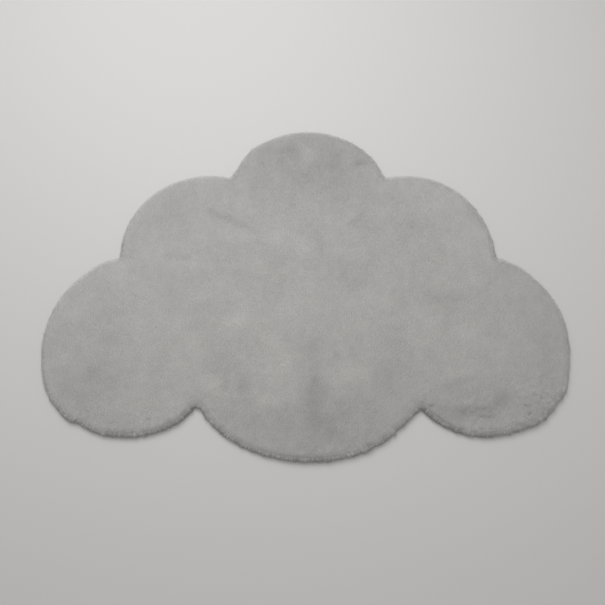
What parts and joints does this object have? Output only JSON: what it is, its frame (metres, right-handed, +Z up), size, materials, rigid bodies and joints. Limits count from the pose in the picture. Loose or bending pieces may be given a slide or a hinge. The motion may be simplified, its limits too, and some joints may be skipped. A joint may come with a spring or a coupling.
{
  "type": "cloud shaped kids rug",
  "caption": "Flat plush rug cut as a cloud with round lobes and soft notches, short brushed pile, lies on a floor.",
  "frame": {"origin": "middle of the rug's box, on the floor it lies on", "axes": "+X along the rug's long side, +Y towards the lobe at the top of the cloud, +Z up out of the pile"},
  "size_m": [1.5174, 1.0092, 0.0223],
  "materials": {
    "plush": "soft matt plush with a light sheen, pale warm grey"
  },
  "bodies": {
    "root": {"rug": "plush"}
  },
  "joints": []
}
